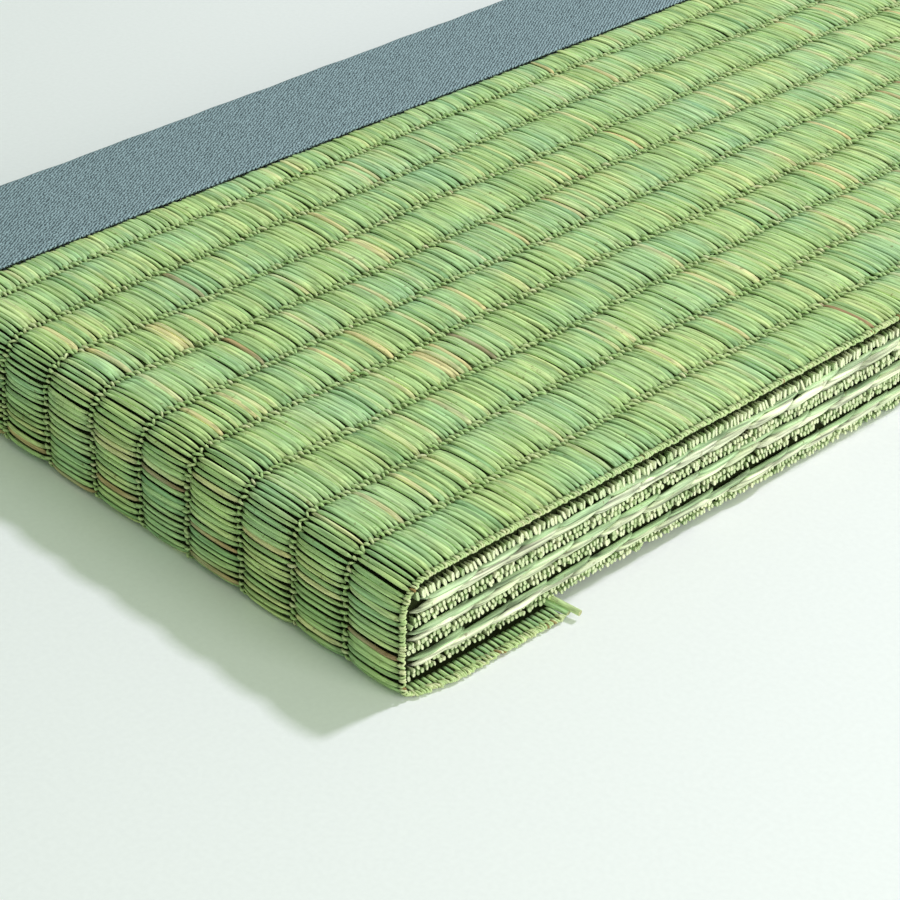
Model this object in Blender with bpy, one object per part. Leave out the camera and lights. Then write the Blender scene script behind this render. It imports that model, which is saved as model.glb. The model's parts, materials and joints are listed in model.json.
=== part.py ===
"""A small thick rush floor mat lying flat, all sizes in metres, +Z up.

A ribbed woven cover is folded round both ends and a little way under the mat. One long
edge is bound with a cloth border. The other long edge is open, and there the stacked
rush mats of the core show. The mat lies along Y, and its open edge is at +X.
"""

import math

import bmesh
import bpy

# Size of the whole mat
WIDTH = 0.177
LENGTH = 0.3
HEIGHT = 0.0249

# The woven cover: a flat inner face, and a rounded rib between each pair of warp cords
WARP_PITCH = 0.015
WHOLE_COLUMNS = 9
COVER_THICKNESS = 0.0012
RIB_HEIGHT = 0.001
RIB_STEPS = 6
SELVEDGE_RISE = 0.4
NARROW_RIB_SHARE = 0.75
UPPER_FOLD_RADIUS = 0.005
LOWER_FOLD_RADIUS = 0.0022
FOLD_STEPS = 5
FLAP_REACH = 0.039
FLAP_RIB_SHARE = 0.15

# The cloth border along -X: over the top edge, down the side, and down over both ends
BORDER_WIDTH = 0.0333
BORDER_THICKNESS = 0.0007
BORDER_EDGE_RADIUS = 0.0016
BORDER_EDGE_STEPS = 4
BORDER_FLOOR_GAP = 0.0004

# Pieces that press on each other stand this far apart
SEAT = 0.0003

# The core: seven rush mats, laid crosswise by turns. They lie on the cover's flaps, and
# sag from there to the floor over the settling reach
SETTLE_REACH = 0.095
BEAD_PITCH = 0.01125
BEAD_DEPTH = 0.0007
BEAD_STEPS = 3
LAYER_EDGE_ROUND = 0.0008

# name, rushes run along Y, recess from the open side, recess from the folded ends
LAYERS = (
    ("core_layer_1", False, 0.0020, 0.0041),
    ("core_layer_2", True, 0.0017, 0.0036),
    ("core_layer_3", False, 0.0020, 0.0042),
    ("core_layer_4", True, 0.0014, 0.0036),
    ("core_layer_5", False, 0.0015, 0.0041),
    ("core_layer_6", True, 0.0010, 0.0037),
    ("core_layer_7", False, 0.0012, 0.0052),
)

# name, red, green, blue, roughness
FINISHES = (
    ("cover_rush", 0.46, 0.45, 0.17, 0.55),
    ("border_cloth", 0.13, 0.17, 0.22, 0.9),
    ("core_cross_rush", 0.50, 0.47, 0.24, 0.7),
    ("core_long_rush", 0.36, 0.39, 0.17, 0.6),
)

SMOOTH_ANGLE = math.radians(40)
HALF_WIDTH = WIDTH / 2
HALF_LENGTH = LENGTH / 2
VALLEY_TOP = HEIGHT - RIB_HEIGHT
CORE_TOP = VALLEY_TOP - COVER_THICKNESS - SEAT
FLAP_RIB = RIB_HEIGHT * FLAP_RIB_SHARE
CORE_OVER_FLAP = FLAP_RIB + COVER_THICKNESS + SEAT
BORDER_INNER_X = BORDER_WIDTH - HALF_WIDTH
SIDE_INNER_X = BORDER_THICKNESS - HALF_WIDTH


def clear_scene():
    """Remove every object that the scene starts with."""
    for item in list(bpy.data.objects):
        bpy.data.objects.remove(item, do_unlink=True)


def make_finish(name, red, green, blue, roughness):
    """Return a plain Principled material."""
    finish = bpy.data.materials.new(name)
    finish.use_nodes = True
    shader = finish.node_tree.nodes["Principled BSDF"]
    shader.inputs["Base Color"].default_value = (red, green, blue, 1.0)
    shader.inputs["Roughness"].default_value = roughness
    finish.diffuse_color = (red, green, blue, 1.0)
    return finish


def add_solid(name, points, faces, finish):
    """Add one closed mesh object to the scene."""
    mesh = bpy.data.meshes.new(name)
    mesh.from_pydata(points, [], faces)
    work = bmesh.new()
    work.from_mesh(mesh)
    bmesh.ops.recalc_face_normals(work, faces=work.faces)
    work.to_mesh(mesh)
    work.free()
    mesh.set_sharp_from_angle(angle=SMOOTH_ANGLE)
    mesh.materials.append(finish)
    item = bpy.data.objects.new(name, mesh)
    bpy.context.scene.collection.objects.link(item)
    return item


def fold_arc(end_y, centre_z, radius, start, end):
    """Return the stations of one rounded fold, each a centre and the outward direction."""
    centre_y = end_y + radius
    stations = []
    for step in range(FOLD_STEPS + 1):
        turn = math.radians(start + (end - start) * step / FOLD_STEPS)
        direction = (math.cos(turn), math.sin(turn))
        stations.append((centre_y, centre_z, direction, radius))
    return stations


def near_half_of_cover():
    """Return the cover's stations from the near flap's edge up to the top, with rib shares."""
    end_y = RIB_HEIGHT - HALF_LENGTH
    low_z = FLAP_RIB + LOWER_FOLD_RADIUS
    high_z = VALLEY_TOP - UPPER_FOLD_RADIUS
    down = (0.0, -1.0)
    stations = [(FLAP_REACH - HALF_LENGTH, FLAP_RIB, down, 0.0, FLAP_RIB_SHARE)]
    for index, arc in enumerate(fold_arc(end_y, low_z, LOWER_FOLD_RADIUS, 270, 180)):
        share = FLAP_RIB_SHARE + (1 - FLAP_RIB_SHARE) * index / FOLD_STEPS
        stations.append((*arc, share))
    for arc in fold_arc(end_y, high_z, UPPER_FOLD_RADIUS, 180, 90):
        stations.append((*arc, 1.0))
    return stations


def station_point(station, offset):
    """Return (y, z) at an offset outward from the cover's valley line."""
    centre_y, centre_z, direction, radius, _ = station
    reach = radius + offset
    return centre_y + direction[0] * reach, centre_z + direction[1] * reach


def mirror(station):
    """Return the same station at the far end of the mat."""
    centre_y, centre_z, direction, radius, share = station
    return -centre_y, centre_z, (-direction[0], direction[1]), radius, share


def cover_columns():
    """Return (x, rib share) across the cover, from the open edge to the bound edge."""
    across = [(HALF_WIDTH, SELVEDGE_RISE)]
    for column in range(WHOLE_COLUMNS):
        start_x = HALF_WIDTH - column * WARP_PITCH
        across += rib_points(start_x, start_x - WARP_PITCH, 1.0)
    last_x = HALF_WIDTH - WHOLE_COLUMNS * WARP_PITCH
    across += rib_points(last_x, BORDER_INNER_X, NARROW_RIB_SHARE)
    across.append((SIDE_INNER_X + 0.0005, 0.0))
    return across


def rib_points(start_x, end_x, share):
    """Return the points of one rounded rib after its first valley."""
    points = []
    for step in range(1, RIB_STEPS + 1):
        part = step / RIB_STEPS
        rise = math.sin(math.pi * part) ** 0.7 if step < RIB_STEPS else 0.0
        points.append((start_x + (end_x - start_x) * part, rise * share))
    return points


def make_cover(finish):
    """The woven cover: one sheet with raised ribs, folded round both ends."""
    near = near_half_of_cover()
    stations = near + [mirror(station) for station in reversed(near)]
    across = cover_columns()
    count = len(across)
    points = []
    for station in stations:
        for x, rise in across:
            y, z = station_point(station, RIB_HEIGHT * rise * station[4])
            points.append((x, y, z))
        for x, _ in across:
            y, z = station_point(station, -COVER_THICKNESS)
            points.append((x, y, z))
    faces = []
    ring = 2 * count
    for row in range(len(stations) - 1):
        here = row * ring
        there = here + ring
        for i in range(count - 1):
            faces.append((here + i, there + i, there + i + 1, here + i + 1))
            inner = count + i
            faces.append((here + inner + 1, there + inner + 1, there + inner, here + inner))
        faces.append((here + count, there + count, there, here))
        faces.append((here + count - 1, there + count - 1, there + ring - 1, here + ring - 1))
    last = (len(stations) - 1) * ring
    for i in range(count - 1):
        faces.append((i + 1, count + i + 1, count + i, i))
        faces.append((last + i, last + count + i, last + count + i + 1, last + i + 1))
    return add_solid("cover", points, faces, finish)


def core_floor(y):
    """Return the height of the core's underside: over the flaps, then down to the floor."""
    inside = (HALF_LENGTH - FLAP_REACH - abs(y)) / SETTLE_REACH
    part = min(max(inside, 0.0), 1.0)
    return CORE_OVER_FLAP * (1 - part * part * (3 - 2 * part))


def layer_rows(long_rushes, recess):
    """Return the Y stations of one layer, with how far its open edge bulges at each."""
    reach = HALF_LENGTH - recess
    step = BEAD_PITCH / BEAD_STEPS
    count = int(reach / step)
    rows = []
    for index in range(-count, count + 1):
        phase = index % BEAD_STEPS
        if long_rushes or phase == 0:
            rows.append((index * step, math.sin(math.pi * phase / BEAD_STEPS)))
    rows = [row for row in rows if abs(row[0]) < reach - step / 3]
    return [(-reach, 0.5)] + rows + [(reach, 0.5)]


def make_layer(level, name, long_rushes, side_recess, end_recess, finish):
    """One rush mat of the core: a flat slab with rounded or beaded open edge."""
    bottom_share = level / len(LAYERS)
    top_share = (level + 1) / len(LAYERS)
    lift = SEAT / 2 if level else 0.0
    drop = SEAT / 2 if level < len(LAYERS) - 1 else 0.0
    left = SIDE_INNER_X + 0.0005
    points = []
    rows = layer_rows(long_rushes, end_recess)
    for y, bulge in rows:
        low = core_floor(y)
        bottom = low + (CORE_TOP - low) * bottom_share + lift
        top = low + (CORE_TOP - low) * top_share - drop
        depth = BEAD_DEPTH * (1 - bulge) if long_rushes else 0.0
        edge = HALF_WIDTH - side_recess - depth
        points += [
            (left, y, bottom),
            (edge - LAYER_EDGE_ROUND, y, bottom),
            (edge, y, bottom + (top - bottom) * 0.3),
            (edge, y, bottom + (top - bottom) * 0.7),
            (edge - LAYER_EDGE_ROUND, y, top),
            (left, y, top),
        ]
    ring = 6
    faces = []
    for row in range(len(rows) - 1):
        here = row * ring
        there = here + ring
        for i in range(ring):
            after = (i + 1) % ring
            faces.append((here + i, here + after, there + after, there + i))
    last = (len(rows) - 1) * ring
    for low_pair, high_pair in (((0, 1), (4, 5)), ((1, 2), (3, 4))):
        a, b = low_pair
        c, d = high_pair
        faces.append((d, c, b, a))
        faces.append((last + a, last + b, last + c, last + d))
    return add_solid(name, points, faces, finish)


def border_path():
    """Return the border's stations: up the near end, over the top and down the far end."""
    rising = [station for station in near_half_of_cover()[1:] if station[2][1] > -0.01]
    return rising + [mirror(station) for station in reversed(rising)]


def border_ring(path, x, offset):
    """Return one run of points of the border, dropped straight at both ends."""
    run = []
    for station in path:
        y, z = station_point(station, offset)
        run.append((x, y, z))
    first_y = run[0][1]
    last_y = run[-1][1]
    return [(x, first_y, BORDER_FLOOR_GAP)] + run[1:-1] + [(x, last_y, BORDER_FLOOR_GAP)]


def border_face(path, wall_x, offset, radius):
    """Return the runs of one face of the border, from its inner edge to the side wall."""
    runs = [border_ring(path, BORDER_INNER_X, offset)]
    for step in range(BORDER_EDGE_STEPS + 1):
        turn = math.pi / 2 * step / BORDER_EDGE_STEPS
        x = wall_x + radius * (1 - math.sin(turn))
        runs.append(border_ring(path, x, offset - radius * (1 - math.cos(turn))))
    return runs


def make_border(finish):
    """The cloth border: one sheet over the top edge, the side and both ends."""
    path = border_path()
    outer_offset = SEAT + BORDER_THICKNESS
    outer = border_face(path, -HALF_WIDTH, outer_offset, BORDER_EDGE_RADIUS)
    inner_radius = BORDER_EDGE_RADIUS - BORDER_THICKNESS
    inner = border_face(path, SIDE_INNER_X, SEAT, inner_radius)
    size = len(outer[0])
    runs = len(outer)
    points = [point for run in outer + inner for point in run]
    faces = []
    for k in range(runs - 1):
        for i in range(size - 1):
            a = k * size + i
            b = a + size
            faces.append((a, a + 1, b + 1, b))
            c = a + runs * size
            d = c + size
            faces.append((d, d + 1, c + 1, c))
        for i in (0, size - 1):
            a = k * size + i
            c = a + runs * size
            quad = (a, a + size, c + size, c)
            faces.append(quad if i == 0 else quad[::-1])
    for i in range(size - 1):
        c = runs * size + i
        faces.append((c, c + 1, i + 1, i))
    wall = (runs - 1) * size
    inside = (2 * runs - 1) * size
    for i in range(size // 2 - 1):
        j = size - 1 - i
        faces.append((wall + i, wall + i + 1, wall + j - 1, wall + j))
        faces.append((inside + j, inside + j - 1, inside + i + 1, inside + i))
    end = size - 1
    faces.append((wall, wall + end, inside + end, inside))
    return add_solid("border", points, faces, finish)


def main():
    """Build the mat."""
    clear_scene()
    finishes = {row[0]: make_finish(*row) for row in FINISHES}
    make_cover(finishes["cover_rush"])
    make_border(finishes["border_cloth"])
    for level, (name, long_rushes, side, ends) in enumerate(LAYERS):
        finish = finishes["core_long_rush" if long_rushes else "core_cross_rush"]
        make_layer(level, name, long_rushes, side, ends, finish)


main()
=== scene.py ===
"""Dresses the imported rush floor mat: woven cover, plaited rush core and cloth border."""

import json
import logging
import math
from dataclasses import dataclass, field
from enum import Enum
from typing import Iterable, Sequence

import bpy
import numpy as np
from mathutils import Matrix, Vector

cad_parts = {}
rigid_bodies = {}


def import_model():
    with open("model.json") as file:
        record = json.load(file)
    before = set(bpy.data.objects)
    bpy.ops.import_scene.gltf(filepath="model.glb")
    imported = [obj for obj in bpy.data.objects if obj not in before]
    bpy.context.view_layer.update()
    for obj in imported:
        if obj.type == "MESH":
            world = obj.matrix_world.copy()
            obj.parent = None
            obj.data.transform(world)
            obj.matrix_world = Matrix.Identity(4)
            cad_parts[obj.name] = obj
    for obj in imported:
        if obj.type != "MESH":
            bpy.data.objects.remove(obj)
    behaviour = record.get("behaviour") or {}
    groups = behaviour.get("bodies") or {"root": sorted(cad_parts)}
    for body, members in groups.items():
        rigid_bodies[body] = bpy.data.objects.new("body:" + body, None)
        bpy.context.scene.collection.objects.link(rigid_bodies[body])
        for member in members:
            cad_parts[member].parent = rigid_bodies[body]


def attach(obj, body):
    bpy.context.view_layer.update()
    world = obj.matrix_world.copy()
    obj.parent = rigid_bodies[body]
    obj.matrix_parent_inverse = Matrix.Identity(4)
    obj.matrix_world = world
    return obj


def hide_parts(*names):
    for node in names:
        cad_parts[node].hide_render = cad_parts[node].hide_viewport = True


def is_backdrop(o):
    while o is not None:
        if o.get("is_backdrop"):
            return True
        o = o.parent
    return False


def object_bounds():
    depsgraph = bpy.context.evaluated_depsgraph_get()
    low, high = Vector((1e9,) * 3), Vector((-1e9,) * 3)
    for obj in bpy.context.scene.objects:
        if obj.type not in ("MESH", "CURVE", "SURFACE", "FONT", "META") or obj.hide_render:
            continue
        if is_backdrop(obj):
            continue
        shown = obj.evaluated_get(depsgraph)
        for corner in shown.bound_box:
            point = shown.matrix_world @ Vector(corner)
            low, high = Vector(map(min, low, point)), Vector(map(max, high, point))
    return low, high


LOG = logging.getLogger("rush_mat")
ROOT = "root"
DRAW_SEED = 7
Triple = tuple[float, float, float]
Numbers = float | Sequence[float] | np.ndarray
Socket = bpy.types.NodeSocket


@dataclass(frozen=True)
class MatSizes:
    """The mat's driving sizes in metres, as in its solids, with a rounder, leaning fold."""

    width: float = 0.177
    length: float = 0.3
    height: float = 0.0249
    warp_pitch: float = 0.015
    rush_pitch: float = 0.00125
    cover_thickness: float = 0.0012
    rib_height: float = 0.001
    upper_fold_radius: float = 0.0063
    lower_fold_radius: float = 0.0022
    flap_reach: float = 0.039
    flap_rib_share: float = 0.15
    border_width: float = 0.0333
    border_thickness: float = 0.0007
    border_floor_gap: float = 0.0004
    seat: float = 0.0003
    settle_reach: float = 0.095
    bead_pitch: float = 0.01125
    flap_flare: float = 0.003
    end_lean: float = 0.001
    lean_fade: float = 0.06

    @property
    def half_width(self) -> float:
        """Half of the mat's width."""
        return self.width / 2

    @property
    def half_length(self) -> float:
        """Half of the mat's length."""
        return self.length / 2

    @property
    def valley_top(self) -> float:
        """Height of the valleys between the cover's ribs."""
        return self.height - self.rib_height

    @property
    def flap_rib(self) -> float:
        """Height of the pressed ribs under the flaps."""
        return self.rib_height * self.flap_rib_share

    @property
    def core_top(self) -> float:
        """Height of the top of the core."""
        return self.valley_top - self.cover_thickness - self.seat

    @property
    def core_over_flap(self) -> float:
        """Height of the core's underside where it lies on a flap."""
        return self.flap_rib + self.cover_thickness + self.seat

    @property
    def border_inner_x(self) -> float:
        """Where the border's inner edge lies across the mat."""
        return self.border_width - self.half_width

    def core_floor(self, y: float) -> float:
        """Return the height of the core's underside at a place along the mat.

        Args:
            y: The place along the mat, in metres.
        Returns:
            The height in metres.
        """
        inside = (self.half_length - self.flap_reach - abs(y)) / self.settle_reach
        part = min(max(inside, 0.0), 1.0)
        return self.core_over_flap * (1 - part * part * (3 - 2 * part))


class Run(Enum):
    """Which way the rushes of a core mat run."""

    ACROSS = "across"
    ALONG = "along"


@dataclass(frozen=True)
class LayerPlan:
    """One core mat: its node, its rushes' direction, its recesses and its open edge.

    The two shares say where the edge's rushes lie in the mat's depth, and how tall they are.
    """

    node: str
    run: Run
    side_recess: float
    end_recess: float
    middle: float
    tall: float


LAYERS: tuple[LayerPlan, ...] = (
    LayerPlan("core_layer_1", Run.ACROSS, 0.0020, 0.0041, 0.52, 0.86),
    LayerPlan("core_layer_2", Run.ALONG, 0.0017, 0.0036, 0.28, 0.76),
    LayerPlan("core_layer_3", Run.ACROSS, 0.0020, 0.0042, 0.26, 1.0),
    LayerPlan("core_layer_4", Run.ALONG, 0.0014, 0.0036, 0.40, 0.88),
    LayerPlan("core_layer_5", Run.ACROSS, 0.0015, 0.0041, 0.26, 1.0),
    LayerPlan("core_layer_6", Run.ALONG, 0.0010, 0.0037, 0.50, 1.0),
    LayerPlan("core_layer_7", Run.ACROSS, 0.0012, 0.0052, 0.22, 1.0),
)


class Zone(Enum):
    """The parts of the cover's line."""

    FLAP = "flap"
    END = "end"
    FOLD = "fold"
    FACE = "face"


class Chance:
    """The one source of random draws, so that every build is the same."""

    def __init__(self, seed: int) -> None:
        """Start the draws from a seed."""
        self.draws = np.random.default_rng(seed)

    def near(self, middle: float, spread: float, low: float = -math.inf, high: float = math.inf) -> float:
        """Return a number scattered about a middle.

        Args:
            middle: The middle.
            spread: The standard deviation.
            low: The least number that is returned.
            high: The greatest.
        Returns:
            The number.
        """
        return float(np.clip(self.draws.normal(middle, spread), low, high))

    def between(self, low: float, high: float) -> float:
        """Return a number between two limits."""
        return float(self.draws.uniform(low, high))

    def share(self) -> float:
        """Return a share from 0 to 1."""
        return float(self.draws.random())

    def under(self, count: int) -> int:
        """Return a whole number from 0 to one below the count."""
        return int(self.draws.integers(0, count))


@dataclass(frozen=True)
class Station:
    """A place on the cover's valley line: position, turn about X and rib share."""

    y: float
    z: float
    turn: float
    share: float

    def out(self, offset: float) -> tuple[float, float]:
        """Return (y, z) at an offset outward from the valley line."""
        return self.y - math.sin(self.turn) * offset, self.z + math.cos(self.turn) * offset


class CoverLine:
    """The cover's valley line from the near flap's edge, over the top, to the far one's."""

    def __init__(self, sizes: MatSizes) -> None:
        """Lay out the runs and folds of the line.

        Args:
            sizes: The mat's sizes.
        """
        self.sizes = sizes
        low, high = sizes.lower_fold_radius, sizes.upper_fold_radius
        end = sizes.half_length - sizes.rib_height
        flap = sizes.flap_reach - sizes.rib_height - low
        rise = sizes.valley_top - sizes.flap_rib - low - high
        top = 2 * (end - high)
        tight, wide = low * math.pi / 2, high * math.pi / 2
        self.spans = (flap, tight, rise, wide, top, wide, rise, tight, flap)
        self.length = sum(self.spans)
        self.end = end

    def marks(self) -> list[float]:
        """Return the distances along the line at which its runs and folds begin and end."""
        return [0.0, *np.cumsum(self.spans).tolist()]

    def at(self, distance: float) -> Station:
        """Return the station at a distance along the line.

        Args:
            distance: Metres from the near flap's edge.
        Returns:
            The station there.
        """
        if distance > self.length / 2:
            twin = self.at(self.length - distance)
            return Station(-twin.y, twin.z, -twin.turn, twin.share)
        sizes = self.sizes
        low, high = sizes.lower_fold_radius, sizes.upper_fold_radius
        left = max(distance, 0.0)
        for index, span in enumerate(self.spans[:5]):
            if left <= span or index == 4:
                break
            left -= span
        if index == 0:
            y = sizes.flap_reach - sizes.half_length - left
            return Station(y, sizes.flap_rib, math.pi, sizes.flap_rib_share)
        if index == 1:
            part = left / span
            share = sizes.flap_rib_share + (1 - sizes.flap_rib_share) * part
            return self._fold(low, sizes.flap_rib + low, math.pi - part * math.pi / 2, share)
        if index == 2:
            return self._leaned(-self.end, sizes.flap_rib + low + left, math.pi / 2, 1.0)
        if index == 3:
            return self._fold(high, sizes.valley_top - high, math.pi / 2 * (1 - left / span), 1.0)
        return self._leaned(high - self.end + left, sizes.valley_top, 0.0, 1.0, left)

    def _leaned(self, y: float, z: float, turn: float, share: float, inward: float = 0.0) -> Station:
        """Set a station back as the near end leans, less so away from the fold.

        Args:
            y: Its place along the mat.
            z: Its height.
            turn: Its turn about X.
            share: Its share of the ribs' height.
            inward: How far it lies from the fold, along the top face.
        Returns:
            The station.
        """
        sizes = self.sizes
        rise = (z - sizes.flap_rib) / (sizes.valley_top - sizes.flap_rib)
        fade = max(0.0, 1 - inward / sizes.lean_fade)
        return Station(y + sizes.end_lean * rise * fade, z, turn, share)

    def _fold(self, radius: float, centre_z: float, turn: float, share: float) -> Station:
        """Return a station on one of the near end's two folds."""
        y = radius - self.end - math.sin(turn) * radius
        return self._leaned(y, centre_z + math.cos(turn) * radius, turn, share)

    def flare(self, distance: float) -> float:
        """Return how far the open edge swings out at a place near or on a flap.

        Args:
            distance: Metres along the line.
        Returns:
            The shift toward +X, in metres.
        """
        marks = self.marks()
        left = min(distance, self.length - distance)
        if left > marks[2] + 0.006:
            return 0.0
        if left > marks[1]:
            part = (marks[2] + 0.006 - left) / (marks[2] + 0.006 - marks[1])
            return self.sizes.flap_flare * 0.35 * part * part
        part = min((marks[1] - left) / 0.008, 1.0)
        return self.sizes.flap_flare * (0.35 + 0.55 * part + 0.1 * (1 - left / marks[1]))

    def rows(self, spacing: float, squeeze: float, start: float = 0.0) -> list[float]:
        """Return spaced distances, closer over the two upper folds and looser below them.

        Args:
            spacing: The usual distance between rows.
            squeeze: The share of it that is left between rows at the upper folds.
            start: Where the first row lies.
        Returns:
            The distances along the line.
        """
        marks = self.marks()
        found, here = [], start + spacing / 2
        while here < self.length - spacing / 3:
            found.append(here)
            upper = marks[3] < here < marks[4] or marks[5] < here < marks[6]
            lower = marks[1] < here < marks[3] or marks[6] < here < marks[8]
            here += spacing * (squeeze if upper else 1.12 if lower else 1.0)
        return found

    def zone(self, distance: float) -> Zone:
        """Return the part of the line that a distance lies on.

        Args:
            distance: Metres along the line.
        Returns:
            A flap, an end face with its lower fold, an upper fold or the top face.
        """
        marks = self.marks()
        if distance < marks[1] or distance > marks[8]:
            return Zone.FLAP
        if distance < marks[3] or distance > marks[6]:
            return Zone.END
        if distance < marks[4] or distance > marks[5]:
            return Zone.FOLD
        return Zone.FACE

    def valley_x(self, column: int, distance: float) -> float:
        """Return where a warp line lies across the mat, with its slight wander.

        Args:
            column: The line's number, from 0 at the open edge.
            distance: Metres along the line.
        Returns:
            The place across the mat.
        """
        sizes = self.sizes
        if column == 0:
            return sizes.half_width - 0.0008 + self.flare(distance)
        wave = 0.00035 * math.sin(distance * 55 + column * 2.1)
        wave += 0.00025 * math.sin(distance * 131 + column * 4.7)
        if column == 1:
            wave += 0.5 * self.flare(distance)
        return sizes.half_width - column * sizes.warp_pitch + wave


@dataclass
class Seeds:
    """Places where a shape is repeated, each with its turn, size, variant and tone."""

    places: list[Triple] = field(default_factory=list)
    turns: list[Triple] = field(default_factory=list)
    sizes: list[Triple] = field(default_factory=list)
    variants: list[int] = field(default_factory=list)
    tones: list[float] = field(default_factory=list)

    def add(self, place: Triple, turn: Triple, size: Triple, variant: int, tone: float) -> None:
        """Add one place.

        Args:
            place: Where the shape's middle goes.
            turn: Its turns about X, Y and Z.
            size: Its share of the shape's size along each axis.
            variant: Which shape it is.
            tone: Its place on the finish's ramp.
        """
        self.places.append(place)
        self.turns.append(turn)
        self.sizes.append(size)
        self.variants.append(variant)
        self.tones.append(tone)

    def mesh(self, name: str) -> bpy.types.Mesh:
        """Build a mesh of loose points that carries the facts as attributes.

        Args:
            name: The mesh's name.
        Returns:
            The mesh.
        """
        mesh = bpy.data.meshes.new(name)
        mesh.from_pydata(self.places, [], [])
        for label, values in (("turn", self.turns), ("size", self.sizes)):
            made = mesh.attributes.new(label, "FLOAT_VECTOR", "POINT")
            made.data.foreach_set("vector", np.array(values, np.float32).ravel())
        made = mesh.attributes.new("variant", "INT", "POINT")
        made.data.foreach_set("value", self.variants)
        made = mesh.attributes.new("tone", "FLOAT", "POINT")
        made.data.foreach_set("value", self.tones)
        return mesh


def link(item: bpy.types.Object) -> bpy.types.Object:
    """Link an object to the scene and return it."""
    bpy.context.scene.collection.objects.link(item)
    return item


def mesh_of(
    name: str,
    points: np.ndarray,
    faces: Iterable[Sequence[int]],
    facts: dict[str, np.ndarray] | None = None,
    smooth: bool = True,
) -> bpy.types.Mesh:
    """Return a mesh with point attributes.

    Args:
        name: The mesh's name.
        points: Its points, one row each.
        faces: Its faces, facing out.
        facts: Point attributes by name, one number a point.
        smooth: Whether its faces are shaded smooth.
    Returns:
        The mesh.
    """
    mesh = bpy.data.meshes.new(name)
    mesh.from_pydata(np.asarray(points, float).tolist(), [], [tuple(f) for f in faces])
    mesh.polygons.foreach_set("use_smooth", [smooth] * len(mesh.polygons))
    for label, values in (facts or {}).items():
        made = mesh.attributes.new(label, "FLOAT", "POINT")
        made.data.foreach_set("value", np.asarray(values, np.float32))
    return mesh


def piece_of(mesh: bpy.types.Mesh, finish: bpy.types.Material) -> bpy.types.Object:
    """Return a linked object that has the mesh, its name and the finish."""
    mesh.materials.append(finish)
    return link(bpy.data.objects.new(mesh.name, mesh))


def ring_faces(rings: int, sides: int) -> list[tuple[int, ...]]:
    """Return the faces of a closed tube of rings, with both ends filled.

    Args:
        rings: How many rings of points the tube has.
        sides: How many points each ring has.
    Returns:
        The faces, as point numbers.
    """
    faces: list[tuple[int, ...]] = []
    for row in range(rings - 1):
        for i in range(sides):
            a, b = row * sides + i, row * sides + (i + 1) % sides
            faces.append((a, b, b + sides, a + sides))
    last = (rings - 1) * sides
    faces.append(tuple(range(sides - 1, -1, -1)))
    faces.append(tuple(range(last, last + sides)))
    return faces


def tube(
    name: str,
    places: Sequence[Numbers],
    girths: Sequence[Numbers],
    sides: int,
    side_way: Triple = (0, 1, 0),
    pith: float = 0.0,
    square: float = 1.0,
) -> bpy.types.Mesh:
    """Return a closed tube along a line, with an oval section at each of its points.

    Args:
        name: The mesh's name.
        places: The line's x, y and z, each as one number or as one for each point.
        girths: Half sizes of the section, along side_way and across it, given likewise.
        sides: How many sides the section has.
        side_way: A direction that stays across the line.
        pith: How pale the far end's cut face is, from 0 to 1.
        square: 1 for an oval section, and less for a flatter, boxier one.
    Returns:
        The mesh, with attributes "along" and "pith".
    """
    table = np.stack(np.broadcast_arrays(*places, *girths), axis=1).astype(float)
    line, girth = table[:, :3], table[:, 3:]
    ahead = np.gradient(line, axis=0)
    ahead /= np.linalg.norm(ahead, axis=1)[:, None]
    side = np.array(side_way) - ahead * (ahead @ np.array(side_way))[:, None]
    side /= np.linalg.norm(side, axis=1)[:, None]
    up = np.cross(ahead, side)
    turn = 2 * np.pi * np.arange(sides) / sides
    if sides == 5:
        # Five sides stand on a flat one.
        turn = 2 * np.pi * (np.arange(sides) + 0.5) / sides - np.pi / 2
    wide, tall = (np.sign(way) * np.abs(way) ** square for way in (np.cos(turn), np.sin(turn)))
    rings = (
        line[:, None, :]
        + side[:, None, :] * (wide[None, :] * girth[:, :1])[..., None]
        + up[:, None, :] * (tall[None, :] * girth[:, 1:])[..., None]
    )
    along = np.repeat(np.linspace(-1, 1, len(line)), sides)
    faces = ring_faces(len(line), sides)
    points = rings.reshape(-1, 3)
    pale = np.zeros(len(points))
    if pith:
        mouth = rings[-1]
        inner = line[-1] + (mouth - line[-1]) * 0.78
        floor = line[-1] + (mouth - line[-1]) * 0.7 - ahead[-1] * 0.00012
        points = np.concatenate([points, inner, floor])
        faces.pop()
        for step in range(2):
            base = (len(line) - 1 + step) * sides
            faces += [
                (base + i, base + (i + 1) % sides, base + sides + (i + 1) % sides, base + sides + i)
                for i in range(sides)
            ]
        last = (len(line) + 1) * sides
        faces.append(tuple(range(last, last + sides)))
        along = np.concatenate([along, np.ones(2 * sides)])
        pale = np.concatenate([pale, np.full(2 * sides, pith)])
    return mesh_of(name, points, faces, {"along": along, "pith": pale})


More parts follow.
